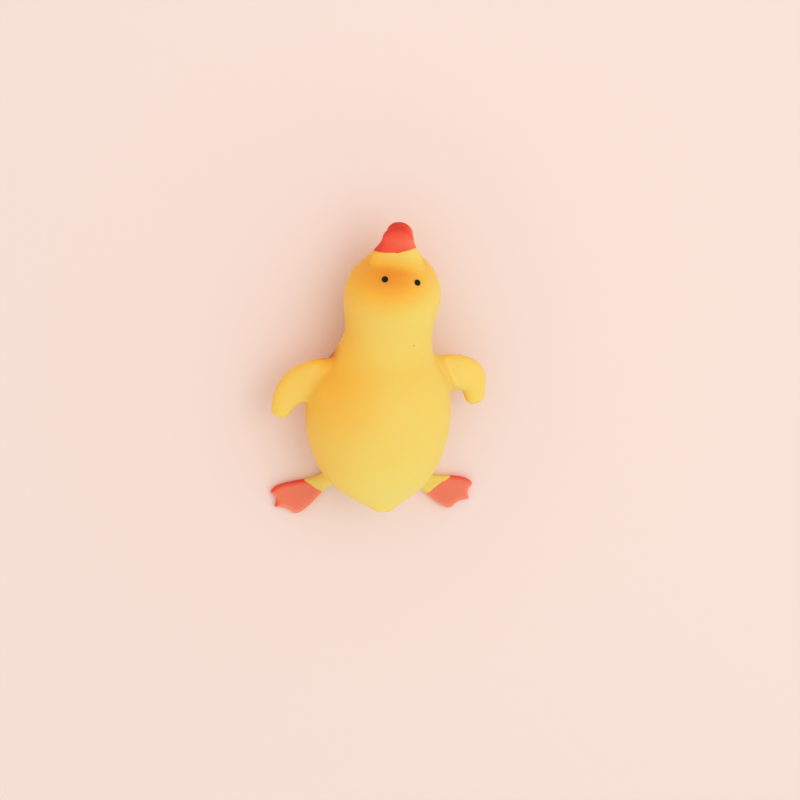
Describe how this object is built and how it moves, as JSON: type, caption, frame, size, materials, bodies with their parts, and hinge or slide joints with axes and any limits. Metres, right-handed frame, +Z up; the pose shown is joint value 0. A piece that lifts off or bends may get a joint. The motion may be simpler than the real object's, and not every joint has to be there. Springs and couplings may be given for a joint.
{
  "type": "duck stress toy",
  "caption": "Soft moulded rubber duck for squeezing in the hand, lying on its flat belly with wings out, webbed feet back and bill raised.",
  "frame": {"origin": "on the table, in the flat face of the belly, under the widest part of the body", "axes": "+Y from the tail to the bill, +Z up from the table, +X to the duck's right"},
  "size_m": [0.0806, 0.1133, 0.042],
  "materials": {
    "yellow_rubber": "satin, airbrushed darker yellow",
    "orange_paint": "satin paint on rubber",
    "black_paint": "glossy paint on rubber"
  },
  "bodies": {
    "root": {"duck": "yellow_rubber"}
  },
  "joints": []
}
